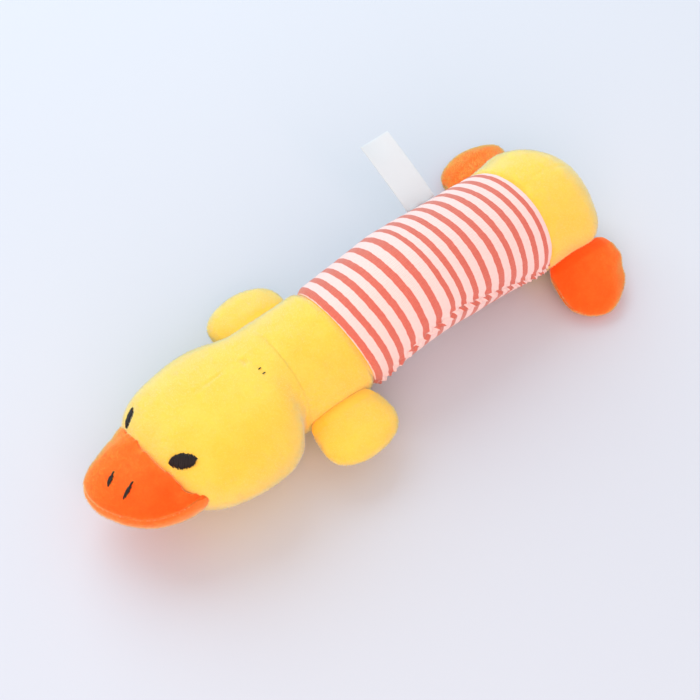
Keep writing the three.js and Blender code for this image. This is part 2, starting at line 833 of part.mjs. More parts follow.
ribbon.applyMatrix4(new THREE.Matrix4().makeBasis(labelNormal, labelUp, labelNormal.clone().cross(labelUp)));
ribbon.translate(labelBase.x, labelBase.y, labelBase.z);
addPiece('label_tag', toSolid(ribbon), ribbonWhite);

// The origin moves from the neck to the centre of the bounding box
const bounds = new THREE.Box3().setFromObject(duck);
const middle = bounds.getCenter(at(0, 0, 0));
duck.position.set(-middle.x, -middle.y, 0);

export default duck;
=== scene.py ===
import json
import math
import random

import bmesh
import bpy
import numpy as np
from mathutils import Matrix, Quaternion, Vector, noise
from mathutils.bvhtree import BVHTree


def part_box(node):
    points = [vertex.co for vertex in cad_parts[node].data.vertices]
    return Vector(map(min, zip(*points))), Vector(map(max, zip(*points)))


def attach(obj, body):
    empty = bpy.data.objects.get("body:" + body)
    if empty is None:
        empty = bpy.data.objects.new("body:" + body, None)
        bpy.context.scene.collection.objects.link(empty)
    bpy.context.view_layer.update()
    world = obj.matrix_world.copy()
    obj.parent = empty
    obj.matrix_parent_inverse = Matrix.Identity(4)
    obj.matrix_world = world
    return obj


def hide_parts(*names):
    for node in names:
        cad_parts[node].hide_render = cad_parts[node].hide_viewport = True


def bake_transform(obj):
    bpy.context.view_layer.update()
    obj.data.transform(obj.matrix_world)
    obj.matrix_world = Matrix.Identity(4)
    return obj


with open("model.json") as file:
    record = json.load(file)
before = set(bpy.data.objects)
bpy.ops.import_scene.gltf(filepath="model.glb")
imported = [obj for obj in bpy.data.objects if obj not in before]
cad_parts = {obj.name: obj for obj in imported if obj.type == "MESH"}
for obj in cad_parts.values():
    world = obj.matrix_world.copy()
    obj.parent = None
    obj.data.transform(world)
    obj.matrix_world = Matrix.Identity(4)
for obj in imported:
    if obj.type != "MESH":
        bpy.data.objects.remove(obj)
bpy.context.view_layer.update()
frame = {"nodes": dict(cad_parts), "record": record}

# A squeaky plush duck: sizes in millimetres, turned to metres by MM
MM = 0.001

joints = {joint["name"]: joint for joint in frame["record"]["behaviour"]["joints"]}
neck = Vector(joints["neck_turn"]["pos_m"])
waist = Vector(joints["waist_bend"]["pos_m"])

# Sizes and places that the solids also use, angles in degrees
HEAD_ROLL, HEAD_YAW, HEAD_SHIFT = -11.0, -0.5, 2.9
MOUTH_RISE, BILL_ROOT, BILL_LENGTH = 1.2, 44.5, 36.6
BILL_ROOT_DROP, BILL_TIP_DROP = 3.4, 1.0
SLEEVE_LENGTH, SLEEVE_RADIUS, STRIPES = 88, 23, 30
LABEL_WIDTH, LABEL_LENGTH, LABEL_WALL = 14, 32, 0.5
LABEL_ANGLE, LABEL_BEND = 29.5, 12

# Cloth: how far the stuffing may swell a piece, the voxels it is evened out in, and its pile
PRESSURE, STUFFED_STEPS = 4, 20
BODY_SWELL, SMALL_SWELL = 0.9, 0.8
BODY_VOXEL, BILL_VOXEL, LIMB_VOXEL = 2.2, 1.6, 1.5
FLOOR_GAP, TUFT_FLOOR_GAP = 0.15, 0.05
PLUSH_GROWTH, FOOT_GROWTH = 0.4, 0.3
PILE_LENGTH, BILL_PILE_LENGTH, TUFT_RADIUS = 0.7, 0.65, 0.12
TUFT_RISE, PILE_COMB, PILE_STRAY = 0.35, 0.25, 0.2
FRONT_TUFTS, RUMP_TUFTS, SMALL_TUFTS = 72000, 34000, 12000

# Threads: how deep their ends dive in, and the parts that one is drawn in
THREAD_DIP, THREAD_STEPS = 0.4, 8


def turned(pitch, roll, yaw):
    """Yaw about Z, then pitch about X, then roll about Y, in degrees."""
    turn = Quaternion((0, 0, 1), math.radians(yaw))
    turn = turn @ Quaternion((1, 0, 0), math.radians(pitch))
    return turn @ Quaternion((0, 1, 0), math.radians(roll))


class Ring:
    """A cross-section of the body: its centre, its turn and the direction back along the body."""

    def __init__(self, centre, pitch, yaw):
        self.centre = Vector(centre)
        self.turn = turned(pitch, 0, yaw)
        self.back = self.turn @ Vector((0, 1, 0))

    def behind(self, spots):
        """How far behind the ring each place lies, in millimetres."""
        return distance_to(spots, self.centre, self.back)


sleeve_front = Ring(neck + Vector((0, 30.5, 0)) * MM, 12.8, 1.0)
sleeve_waist = Ring(waist, 4.0, 3.55)
sleeve_rear = Ring(neck + Vector((0.4, 118.5, 0.4)) * MM, -4.9, 6.1)

head_turn = turned(0, HEAD_ROLL, HEAD_YAW)
head_side = head_turn @ Vector((1, 0, 0))
head_up = head_turn @ Vector((0, 0, 1))
head_forward = head_turn @ Vector((0, -1, 0))


def head_point(forward, side, up):
    """A point given in millimetres forward of the neck, left of the head's middle, and up."""
    along = head_forward * forward + head_side * (side + HEAD_SHIFT) + head_up * up
    return neck + along * MM


# Meshes


def add_piece(name, mesh):
    piece = bpy.data.objects.new(name, mesh)
    bpy.context.scene.collection.objects.link(piece)
    return piece


def places(mesh):
    found = np.empty(len(mesh.vertices) * 3)
    mesh.vertices.foreach_get("co", found)
    return found.reshape(-1, 3)


def normals(mesh):
    found = np.empty(len(mesh.vertices) * 3)
    mesh.vertex_normals.foreach_get("vector", found)
    return found.reshape(-1, 3)


def move_to(mesh, moved):
    mesh.vertices.foreach_set("co", np.ascontiguousarray(moved, dtype=np.float32).ravel())
    mesh.update()


def copied(name, *nodes):
    """One mesh piece with a copy of these solids, their loose triangles merged."""
    shape = bmesh.new()
    for node in nodes:
        shape.from_mesh(frame["nodes"][node].data)
    bmesh.ops.remove_doubles(shape, verts=shape.verts, dist=0.002 * MM)
    mesh = bpy.data.meshes.new(name)
    shape.to_mesh(mesh)
    shape.free()
    return add_piece(name, mesh)


def settle(piece):
    """Applies a piece's modifiers."""
    bpy.context.view_layer.update()
    graph = bpy.context.evaluated_depsgraph_get()
    mesh = bpy.data.meshes.new_from_object(piece.evaluated_get(graph))
    piece.modifiers.clear()
    piece.data = mesh


def remesh(piece, voxel):
    modifier = piece.modifiers.new("even cloth", "REMESH")
    modifier.mode = "VOXEL"
    modifier.voxel_size = voxel * MM
    modifier.use_smooth_shade = True
    settle(piece)
    keep_largest(piece)


def keep_largest(piece):
    """Drops small shells that the remesh leaves inside a piece."""
    shape = bmesh.new()
    shape.from_mesh(piece.data)
    shape.verts.ensure_lookup_table()
    seen = set()
    groups = []
    for start in shape.verts:
        if start.index in seen:
            continue
        group = [start]
        seen.add(start.index)
        for vertex in group:
            for edge in vertex.link_edges:
                other = edge.other_vert(vertex)
                if other.index not in seen:
                    seen.add(other.index)
                    group.append(other)
        groups.append(group)
    groups.sort(key=len)
    for group in groups[:-1]:
        bmesh.ops.delete(shape, geom=group, context="VERTS")
    shape.to_mesh(piece.data)
    shape.free()


def add_group(piece, name, shares):
    """A vertex group of those vertices whose share isn't next to nothing."""
    group = piece.vertex_groups.new(name=name)
    for index, share in enumerate(shares):
        if share > 0.01:
            group.add([index], float(share), "REPLACE")
    return name


def smooth(piece, times, shares=None):
    """Evens a piece out, everywhere or by a share for each vertex."""
    modifier = piece.modifiers.new("smooth", "SMOOTH")
    modifier.iterations = times
    if shares is not None:
        modifier.vertex_group = add_group(piece, "evened", shares)
    settle(piece)
    piece.vertex_groups.clear()


def subdivide(piece, levels):
    modifier = piece.modifiers.new("round", "SUBSURF")
    modifier.levels = modifier.render_levels = levels
    settle(piece)


def stuff(piece, limit, held):
    """Fills a piece with stuffing: cloth under pressure, no point moving further than the limit.
    held gives each vertex a share by which a seam keeps it in place."""
    rest = places(piece.data)
    cloth = piece.modifiers.new("stuffed", "CLOTH")
    cloth.settings.use_pressure = True
    cloth.settings.uniform_pressure_force = PRESSURE
    cloth.settings.effector_weights.gravity = 0
    cloth.settings.quality = 4
    cloth.point_cache.frame_start, cloth.point_cache.frame_end = 1, STUFFED_STEPS
    cloth.settings.vertex_group_mass = add_group(piece, "seams", held)
    for step in range(1, STUFFED_STEPS + 1):
        bpy.context.scene.frame_set(step)
    graph = bpy.context.evaluated_depsgraph_get()
    swollen = places(piece.evaluated_get(graph).data)
    piece.modifiers.clear()
    piece.vertex_groups.clear()
    bpy.context.scene.frame_set(1)
    step = swollen - rest
    length = np.linalg.norm(step, axis=1, keepdims=True)
    step *= np.minimum(1, limit * MM / np.maximum(length, 1e-9))
    move_to(piece.data, rest + step)


def close(shape, rim):
    """Fills an open end of a mesh, with a sharp edge round it."""
    for edge in rim:
        edge.smooth = False
    bmesh.ops.holes_fill(shape, edges=rim, sides=0)


def cut(piece, point, normal):
    """Keeps the part of a piece behind a plane, seen along its normal, and closes it there."""
    shape = bmesh.new()
    shape.from_mesh(piece.data)
    everything = shape.verts[:] + shape.edges[:] + shape.faces[:]
    made = bmesh.ops.bisect_plane(
        shape, geom=everything, dist=0.02 * MM, plane_co=point, plane_no=normal, clear_outer=True
    )
    close(shape, [item for item in made["geom_cut"] if isinstance(item, bmesh.types.BMEdge)])
    shape.to_mesh(piece.data)
    shape.free()


def parted(piece, name, point, normal):
    """Splits a piece at a plane; the part in front of it becomes a new piece."""
    front = add_piece(name, piece.data.copy())
    cut(piece, point, normal)
    cut(front, point, -normal)
    return front


def distance_to(spots, point, normal):
    return (spots - np.array(point)) @ np.array(normal) / MM


def bell(distance, width):
    return np.exp(-((distance / width) ** 2))


def uneven(spots, size, seed):
    """Smooth noise from -1 to 1 at each place, with features about this many millimetres wide."""
    scale = 1 / (size * MM)
    shift = Vector((seed * 7.3, seed * 3.1, seed * 5.7))
    return np.array([noise.noise(Vector(spot) * scale + shift) for spot in spots])


def press(piece, depth):
    """Moves each vertex in along its normal by the depth in millimetres."""
    moved = places(piece.data) - normals(piece.data) * np.asarray(depth).reshape(-1, 1) * MM
    moved[:, 2] = np.maximum(moved[:, 2], FLOOR_GAP * MM)
    move_to(piece.data, moved)


def ramp(values, low, high):
    """0 below low, 1 above high, and smooth between them."""
    part = np.clip((values - low) / (high - low), 0, 1)
    return part * part * (3 - 2 * part)


def surface_of(piece):
    bpy.context.view_layer.update()
    return BVHTree.FromObject(piece, bpy.context.evaluated_depsgraph_get())


def on_surface(tree, spot, outward):
    """The place on a surface that lies straight below or above a point."""
    hit = tree.ray_cast(spot + outward * 15 * MM, -outward)[0]
    return hit or tree.find_nearest(spot)[0]


def threads(name, strokes, thickness):
    """Sewing threads, each a thin round strand through its points."""
    curve = bpy.data.curves.new(name, "CURVE")
    curve.dimensions = "3D"
    curve.bevel_depth = thickness / 2 * MM
    curve.bevel_resolution = 1
    curve.use_fill_caps = True
    for stroke in strokes:
        strand = curve.splines.new("POLY")
        strand.points.add(len(stroke) - 1)
        for point, spot in zip(strand.points, stroke):
            point.co = (*spot, 1)
    holder = bpy.data.objects.new(name, curve)
    bpy.context.scene.collection.objects.link(holder)
    bpy.context.view_layer.update()
    graph = bpy.context.evaluated_depsgraph_get()
    mesh = bpy.data.meshes.new_from_object(holder.evaluated_get(graph))
    bpy.data.objects.remove(holder)
    return add_piece(name, mesh)


def stroke_over(tree, start, end, outward, lift):
    """Points of a thread that lies over a surface from start to end and dives in at both."""
    points = []
    for step in range(THREAD_STEPS + 1):
        part = step / THREAD_STEPS
        raised = lift * (1 - (2 * part - 1) ** 4) - THREAD_DIP * (2 * part - 1) ** 8
        points.append(on_surface(tree, start.lerp(end, part), outward) + outward * raised * MM)
    return points


def pile(skin, name, materials, count, length, seed, bare):
    """Short tufts all over a skin but its bare places, combed this way and that and shaded as the
    skin is. Real pile lets light through, so the tufts throw no shadow of their own."""
    tuft = bmesh.new()
    bmesh.ops.create_cone(
        tuft, cap_ends=True, segments=3, radius1=TUFT_RADIUS * MM, radius2=0, depth=1 * MM
    )
    bmesh.ops.remove_doubles(tuft, verts=tuft.verts, dist=0.001 * MM)
    tuft.verts.index_update()
    corners = np.array([vertex.co for vertex in tuft.verts])
    corners[:, 2] += TUFT_RISE * MM
    sides = np.array([[vertex.index for vertex in face.verts] for face in tuft.faces])
    tuft.free()
    mesh = skin.data
    mesh.calc_loop_triangles()
    triangles = np.empty(len(mesh.loop_triangles) * 3, dtype=np.int32)
    mesh.loop_triangles.foreach_get("vertices", triangles)
    triangles = triangles.reshape(-1, 3)
    spots, outward = places(mesh), normals(mesh)
    a, b, c = (spots[triangles[:, k]] for k in range(3))
    sizes = np.linalg.norm(np.cross(b - a, c - a), axis=1)
    chooser = np.random.default_rng(seed)
    chosen = chooser.choice(len(triangles), count, p=sizes / sizes.sum())
    share = chooser.random((count, 2))
    share = np.where(share.sum(axis=1, keepdims=True) > 1, 1 - share, share)
    u, v = share[:, :1], share[:, 1:]

    def mixed(values):
        first, second, third = (values[triangles[chosen, k]] for k in range(3))
        return first * (1 - u - v) + second * u + third * v

    roots, up = mixed(spots), mixed(outward)
    kept = ~bare(roots)
    roots, up = roots[kept], up[kept]
    count = len(roots)
    up /= np.linalg.norm(up, axis=1, keepdims=True)
    comb = np.stack([uneven(roots, 6, seed + axis) for axis in range(3)], axis=1)
    comb *= PILE_COMB
    stray = chooser.normal(0, PILE_STRAY, (count, 3))
    lean = up + comb + stray - up * (comb * up).sum(axis=1, keepdims=True)
    lean /= np.linalg.norm(lean, axis=1, keepdims=True)
    side = np.cross(lean, chooser.normal(0, 1, (count, 3)))
    side /= np.linalg.norm(side, axis=1, keepdims=True)
    turn = np.stack([side, np.cross(lean, side), lean], axis=2)
    stretch = np.ones((count, 1, 3))
    stretch[:, 0, 2] = length * chooser.uniform(0.7, 1.15, count)
    made = np.einsum("nij,nkj->nki", turn, corners[None] * stretch) + roots[:, None]
    made[:, :, 2] = np.maximum(made[:, :, 2], TUFT_FLOOR_GAP * MM)
    faces = sides[None] + (np.arange(count) * len(corners))[:, None, None]
    tufts = bpy.data.meshes.new(name)
    tufts.from_pydata(made.reshape(-1, 3).tolist(), [], faces.reshape(-1, 3).tolist())
    piece = add_piece(name, tufts)
    for material in materials:
        tufts.materials.append(material)
    tone = np.repeat(chooser.integers(0, len(materials), count), len(sides))
    tufts.polygons.foreach_set("material_index", tone.astype(np.int32))
    shade_smooth(piece)
    tufts.normals_split_custom_set_from_vertices(np.repeat(up, len(corners), axis=0).tolist())
    piece.visible_shadow = False
    piece.visible_diffuse = False
    return piece


def shade_smooth(piece):
    piece.data.polygons.foreach_set("use_smooth", [True] * len(piece.data.polygons))


# Materials


class Value:
    """A socket of a look, so that maths on it adds Math nodes."""

    def __init__(self, look, socket):
        self.look = look
        self.socket = socket

    def maths(self, operation, *values):
        return self.look.node("ShaderNodeMath", {"operation": operation}, dict(enumerate(values)))

    def __getitem__(self, name):
        return Value(self.look, self.socket.node.outputs[name])

    def __add__(self, other):
        return self.maths("ADD", self, other)

    def __sub__(self, other):
        return self.maths("SUBTRACT", self, other)

    def __rsub__(self, other):
        return self.maths("SUBTRACT", other, self)

    def __mul__(self, other):
        return self.maths("MULTIPLY", self, other)

    def wave(self):
        return self.maths("SINE", self)

    def fraction(self):
        return self.maths("FRACT", self)

    def between(self, low, high):
        """0 below low, 1 above high, and smooth between them."""
        return self.look.node(
            "ShaderNodeMapRange",
            {"interpolation_type": "SMOOTHSTEP"},
            {"Value": self, "From Min": low, "From Max": high},
        )


class Look:
    """A material whose nodes are made by name."""

    def __init__(self, name, roughness, **constants):
        self.material = bpy.data.materials.new(name)
        self.material.use_nodes = True
        self.tree = self.material.node_tree
        self.shader = self.tree.nodes["Principled BSDF"]
        self.put(self.shader.inputs["Roughness"], roughness)
        for socket, value in constants.items():
            self.put(self.shader.inputs[socket.replace("_", " ")], value)

    def put(self, socket, value):
        if isinstance(value, Value):
            self.tree.links.new(value.socket, socket)
        elif isinstance(value, tuple) and len(value) == 3 and socket.type == "RGBA":
            socket.default_value = (*value, 1)
        else:
            socket.default_value = value

    def node(self, kind, settings=None, values=None):
        made = self.tree.nodes.new(kind)
        for name, value in (settings or {}).items():
            setattr(made, name, value)
        for name, value in (values or {}).items():
            self.put(made.inputs[name], value)
        outputs = [output for output in made.outputs if output.enabled]
        return Value(self, outputs[0])

    def place(self):
        return self.node("ShaderNodeTexCoord")["Object"]

    def speckle(self, size, detail=2.0):
        """Noise from 0 to 1 with grains about this many millimetres wide."""
        values = {"Vector": self.place(), "Scale": 1 / (size * MM), "Detail": detail}
        return self.node("ShaderNodeTexNoise", {}, values)

    def spread(self):
        """The two directions of the piece's cloth, each from 0 to 1."""
        cloth = self.node("ShaderNodeUVMap", {"uv_map": "cloth"})
        parts = self.node("ShaderNodeSeparateXYZ", {}, {0: cloth})
        return parts["X"], parts["Y"]

    def mix(self, factor, low, high):
        made = self.tree.nodes.new("ShaderNodeMix")
        made.data_type = "RGBA"
        self.put(made.inputs["Factor"], factor)
        self.put(made.inputs[6], low)
        self.put(made.inputs[7], high)
        return Value(self, made.outputs[2])

    def paint(self, value):
        self.put(self.shader.inputs["Base Color"], value)

    def bump(self, height, distance, strength):
        values = {"Height": height, "Distance": distance * MM, "Strength": strength}
        self.put(self.shader.inputs["Normal"], self.node("ShaderNodeBump", {}, values))


# Soft fibres that let some light through
SOFT = {
    "Specular_IOR_Level": 0.1,
    "Subsurface_Weight": 0.8,
    "Subsurface_Radius": (1.0, 0.7, 0.3),
    "Subsurface_Scale": 1.5 * MM,
}


def plush(name, light, deep, shade, sheen):
    """Short-pile plush: fine tufts that lean together in patches."""
    look = Look(name, 0.9, Sheen_Weight=sheen, Sheen_Roughness=0.4, Sheen_Tint=shade, **SOFT)
    tufts = look.speckle(1.1, 3.0)
    patches = look.speckle(16)
    lean = look.speckle(5)
    tone = patches * 0.5 + tufts * 0.3 + lean * 0.2
    look.paint(look.mix(tone.between(0.3, 0.7), deep, light))
    look.bump(tufts * 0.75 + lean * 0.25, 0.5, 0.3)
    return look.material


def pile_tips(name, colour, shade, sheen):
    look = Look(name, 0.9, Sheen_Weight=sheen, Sheen_Roughness=0.4, Sheen_Tint=shade, **SOFT)
    look.paint(colour)
    return look.material


YELLOW_SHEEN, ORANGE_SHEEN = (1.0, 0.95, 0.68), (1.0, 0.78, 0.5)
yellow_plush = plush("yellow_plush", (1.0, 0.66, 0.1), (1.0, 0.59, 0.065), YELLOW_SHEEN, 0.65)
orange_plush = plush("orange_plush", (1.0, 0.13, 0.013), (1.0, 0.095, 0.007), ORANGE_SHEEN, 0.7)
light_orange_plush = plush(
    "light_orange_plush", (1.0, 0.21, 0.04), (1.0, 0.16, 0.026), ORANGE_SHEEN, 0.7
)
yellow_tips = [
    pile_tips("yellow_pile_light", (1.0, 0.69, 0.14), YELLOW_SHEEN, 0.6),
    pile_tips("yellow_pile_deep", (1.0, 0.63, 0.09), YELLOW_SHEEN, 0.6),
]
orange_tips = [
    pile_tips("orange_pile_light", (1.0, 0.13, 0.014), ORANGE_SHEEN, 0.7),
    pile_tips("orange_pile_deep", (1.0, 0.1, 0.008), ORANGE_SHEEN, 0.7),
]
light_orange_tips = [
    pile_tips("light_orange_pile_light", (1.0, 0.21, 0.04), ORANGE_SHEEN, 0.7),
    pile_tips("light_orange_pile_deep", (1.0, 0.17, 0.028), ORANGE_SHEEN, 0.7),
]


WALES, COURSES = 150, 176


def jersey_look():
    """Knitted jersey: stripes across the body, fine wales along it."""
    sheen = {"Sheen_Weight": 0.35, "Sheen_Roughness": 0.5}
    look = Look("striped_jersey", 0.88, Specular_IOR_Level=0.15, **sheen)
    around, along = look.spread()
    wander = look.speckle(2.2) - 0.5
    pair = (along * (STRIPES / 2) + wander * 0.09).fraction()
    band = pair.between(0.02, 0.06) * (1 - pair.between(0.46, 0.5))
    wales = (around * (2 * math.pi * WALES)).wave()
    courses = (along * (2 * math.pi * COURSES)).wave()
    loops = wales * 0.5 + courses * 0.25
    yarn = look.speckle(1.2)
    white = look.mix(yarn, (0.84, 0.61, 0.58), (0.91, 0.68, 0.65))
    salmon = look.mix(yarn, (0.57, 0.125, 0.09), (0.66, 0.19, 0.14))
    look.paint(look.mix(band, white, salmon))
    look.bump(loops * 0.5 + yarn * 0.5, 0.25, 0.6)
    return look.material


striped_jersey = jersey_look()


def thread_look():
    look = Look("black_thread", 0.5, Specular_IOR_Level=0.25)
    strands = look.speckle(0.35)
    look.paint(look.mix(strands, (0.005, 0.004, 0.004), (0.02, 0.016, 0.017)))
    look.bump(strands, 0.12, 0.5)
    return look.material


black_thread = thread_look()


RIBBON_WARPS, RIBBON_WEFTS = 28, 64


def ribbon_look():
    look = Look("white_ribbon", 0.5, Sheen_Weight=0.1, Specular_IOR_Level=0.4)
    across, along = look.spread()
    warps = (across * (2 * math.pi * RIBBON_WARPS)).wave()
    wefts = (along * (2 * math.pi * RIBBON_WEFTS)).wave()
    weave = warps * wefts
    look.paint(look.mix(weave * 0.5 + 0.5, (0.59, 0.7, 0.75), (0.64, 0.76, 0.81)))
    look.bump(weave, 0.08, 0.5)
    return look.material


white_ribbon = ribbon_look()


def plastic(name, low, high, roughness):
    look = Look(name, roughness, Specular_IOR_Level=0.5)
    look.paint(look.mix(look.speckle(3), low, high))
    look.bump(look.speckle(0.6), 0.05, 0.3)
    return look.material


squeaker_plastic = plastic("squeaker_plastic", (0.7, 0.73, 0.76), (0.8, 0.83, 0.86), 0.35)
reed_film = plastic("reed_film", (0.75, 0.75, 0.75), (0.85, 0.85, 0.85), 0.45)


def dress(piece, material):
    piece.data.materials.clear()
    piece.data.materials.append(material)
    shade_smooth(piece)


for node, material in (
    ("squeaker_bulb", squeaker_plastic),
    ("squeaker_reed_capsule", squeaker_plastic),
    ("squeaker_reed_clamp", squeaker_plastic),
    ("squeaker_reed", reed_film),
):
    solid = frame["nodes"][node]
    for holder in solid.material_slots:
        holder.material = material

# Head and chest: one run of yellow plush, stuffed, then parted at the neck fold

FRONT_TUCK = 2.5
front = copied(
    "front", "head_left_panel", "head_right_panel", "head_stuffing", "neck_stuffing",
    "chest_left_panel", "chest_right_panel", "chest_stuffing",
)
cut(front, sleeve_front.centre + sleeve_front.back * FRONT_TUCK * MM, sleeve_front.back)
remesh(front, BODY_VOXEL)
smooth(front, 4)
spots = places(front.data)
forward = distance_to(spots, neck, head_forward)
rise = distance_to(spots, neck, head_up)
smooth(front, 30, bell(forward + 1, 13) * ramp(rise, -14, 8))
spots = places(front.data)
stuff(front, BODY_SWELL, bell(sleeve_front.behind(spots), 3))
subdivide(front, 2)

# Each eye's centre, its two ends, its length and its width
EYES = {
    "left": (
        head_point(52, 15.2, 11.6),
        head_point(54.9, 11.1, 10.3),
        head_point(49, 19, 12.2),
        10.6,
        5.8,
    ),
    "right": (
        head_point(53.4, -17.4, 9.8),
        head_point(55.3, -17.1, 8),
        head_point(51.4, -17.9, 11.4),
        6.8,
        4.2,
    ),
}
NAPE = [head_point(9.5, 9.5, 21.2), head_point(9.5, 7, 21.8)]
DIMPLE = head_point(11.9, 1.2, 22.5)


def apart(spots, place):
    return np.linalg.norm(spots - np.array(place), axis=1) / MM


def in_eye(spots, centre, start, end, length, width):
    """How far out in an eye's oval each place lies: 0 at its centre, 1 at its rim."""
    along = (spots - np.array(centre)) / MM @ np.array((end - start).normalized())
    across = np.sqrt(np.maximum(apart(spots, centre) ** 2 - along**2, 0))
    return np.sqrt((along / length) ** 2 + (across / width) ** 2) * 2


def crown_seam(spots):
    """The seam along the head's middle, deeper in some places than in others."""
    middle = distance_to(spots, neck + head_side * HEAD_SHIFT * MM, head_side)
    forward = distance_to(spots, neck, head_forward)
    rise = distance_to(spots, neck, head_up)
    wander = uneven(spots, 8, 1)
    on_crown = ramp(forward, 8, 16) * ramp(rise, -4, 4) * (1 - 0.7 * bell(forward - 50, 12))
    return on_crown * np.clip(0.2 + 0.6 * wander, 0.03, 0.6) * bell(middle + 0.8 * wander, 0.8)


FAR_CHEEK_FULL, FAR_CHEEK, FAR_CHEEK_WIDTH = 1.4, head_point(53, -23, 3), 11
EYE_DENT, HEM_FOLD, CHEEK_CREASE, WING_DENT = 0.45, 1.1, 0.8, 0.7


def folds_of_front(spots):
    """How deep the seams and folds of the head and chest lie, in millimetres."""
    forward = distance_to(spots, neck, head_forward)
    rise = distance_to(spots, neck, head_up)
    depth = crown_seam(spots) - FAR_CHEEK_FULL * bell(apart(spots, FAR_CHEEK), FAR_CHEEK_WIDTH)
    for place, width, amount in ((DIMPLE, 1.5, 1.0), (NAPE[0], 1.3, 0.5), (NAPE[1], 1.3, 0.5)):
        depth += amount * bell(apart(spots, place), width)
    for eye in EYES.values():
        depth += EYE_DENT * (1 - ramp(in_eye(spots, *eye), 0.85, 1.3))
    depth += HEM_FOLD * bell(sleeve_front.behind(spots), 1.8)
    cheek = np.abs(distance_to(spots, neck, head_side))
    crease = bell(forward - 1.5, 1.5) * ramp(cheek, 18, 24) * ramp(-rise, -8, 4)
    beside_wing = bell(forward - 6, 8) * ramp(cheek, 16, 22) * ramp(-rise, -4, 4)
    depth += CHEEK_CREASE * crease + WING_DENT * beside_wing
    return depth + 0.4 * uneven(spots, 17, 2) + 0.12 * uneven(spots, 5, 8)


press(front, folds_of_front(places(front.data)) - PLUSH_GROWTH)


def bare_front(spots):
    """Where the pile is hidden, sewn down or parted by a seam."""
    bare = sleeve_front.behind(spots) > -0.6
    bare |= crown_seam(spots) > 0.45
    for place in NAPE:
        bare |= apart(spots, place) < 0.8
    for eye in EYES.values():
        bare |= in_eye(spots, *eye) < 1.02
    return bare


for name, way, seed in (("head_pile", -1, 31), ("chest_pile", 1, 32)):
    tufts = pile(
        front, name, yellow_tips, FRONT_TUFTS, PILE_LENGTH, seed,
        lambda roots: bare_front(roots) | (distance_to(roots, neck, Vector((0, way, 0))) < 0),
    )
    if way < 0:
        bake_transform(tufts)
    else:
        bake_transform(tufts)

chest_skin = front
head_skin = parted(front, "head_skin", neck, Vector((0, -1, 0)))
chest_skin.name = "chest_skin"
for piece in (head_skin, chest_skin):
    dress(piece, yellow_plush)
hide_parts("head_left_panel", "head_right_panel", "head_stuffing", "neck_stuffing")
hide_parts("chest_left_panel", "chest_right_panel", "chest_stuffing")
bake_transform(head_skin)
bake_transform(chest_skin)

# Rump: its hem goes into the sleeve, and it bulges on the near side

HEM_TUCK = 2.2
BULGE, BULGE_WIDTH = 3.0, 9.5
BULGE_PLACE = Vector((23, 112, 17)) * MM
rump_skin = copied("rump_skin", "rump_left_panel", "rump_right_panel", "rump_stuffing")
remesh(rump_skin, BODY_VOXEL)
smooth(rump_skin, 4)
spots = places(rump_skin.data)
stuff(rump_skin, BODY_SWELL, bell(sleeve_rear.behind(spots), 3))
subdivide(rump_skin, 2)
spots = places(rump_skin.data)
hem = sleeve_rear.behind(spots)
tuck = HEM_TUCK * (1 - ramp(hem, 0.4, 2.4))
move_to(rump_skin.data, spots - np.outer(tuck * MM, np.array(sleeve_rear.back)))
spots = places(rump_skin.data)
middle = distance_to(spots, sleeve_rear.centre + Vector((1.4, 0, 0)) * MM, Vector((1, 0, 0)))
lift = np.clip(distance_to(spots, sleeve_rear.centre, Vector((0, 0, 1))) / 8 + 1, 0, 1)
seam = np.clip(0.12 + 0.5 * uneven(spots, 8, 9), 0.02, 0.4) * bell(middle, 0.8) * lift
seam += 0.5 * bell(sleeve_rear.behind(spots), 1.6)
seam -= BULGE * bell(apart(spots, BULGE_PLACE), BULGE_WIDTH)
press(rump_skin, seam - PLUSH_GROWTH + 0.35 * uneven(spots, 15, 3) + 0.12 * uneven(spots, 5, 8))
dress(rump_skin, yellow_plush)
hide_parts("rump_left_panel", "rump_right_panel", "rump_stuffing")
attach(rump_skin, "rear")
rump_pile = pile(
    rump_skin, "rump_pile", yellow_tips, RUMP_TUFTS, PILE_LENGTH, 33,
    lambda roots: sleeve_rear.behind(roots) < 0.6,
)
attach(rump_pile, "rear")

# Bill: a stuffed pocket whose two panels meet at the mouth seam

FAR_FLANK_IN, NEAR_FLANK_OUT, TIP_ON = 3.8, 1.2, 2.4
MOUTH_FOLD, FOLD_DEPTH, FOLD_WIDTH = head_point(56.5, 20, 4.2), 2.0, 4.0
MOUTH_CORNER, CORNER_FULL, CORNER_WIDTH = head_point(53, 25.4, -0.8), 2.4, 4.2
CORNER_LIFT, LIFT_WIDTH = 2.2, 5
bill = copied("bill", "bill_top_panel", "bill_bottom_panel", "bill_stuffing")
remesh(bill, BILL_VOXEL)
smooth(bill, 3)
bill_root = head_point(BILL_ROOT, 0, -BILL_ROOT_DROP)
bill_tip = head_point(BILL_ROOT + BILL_LENGTH, 0, -BILL_TIP_DROP)
mouth_normal = head_side.cross((bill_tip - bill_root).normalized()).normalized()
if mouth_normal.dot(head_up) < 0:
    mouth_normal.negate()
mouth = bill_root + mouth_normal * MOUTH_RISE * MM
spots = places(bill.data)
stuff(bill, SMALL_SWELL, bell(distance_to(spots, mouth, mouth_normal), 1.5))
subdivide(bill, 2)
spots = places(bill.data)
forward = distance_to(spots, neck, head_forward)
side = distance_to(spots, neck + head_side * HEAD_SHIFT * MM, head_side)
inward = FAR_FLANK_IN * ramp(-side, 8, 24) * ramp(forward, 52, 63) * (1 - ramp(forward, 76, 84))
inward -= NEAR_FLANK_OUT * ramp(side, 15, 27)
onward = TIP_ON * bell(side + 5, 13) * ramp(forward, 66, 80)
moved = spots + np.outer(inward * MM, np.array(head_side))
move_to(bill.data, moved + np.outer(onward * MM, np.array(head_forward)))


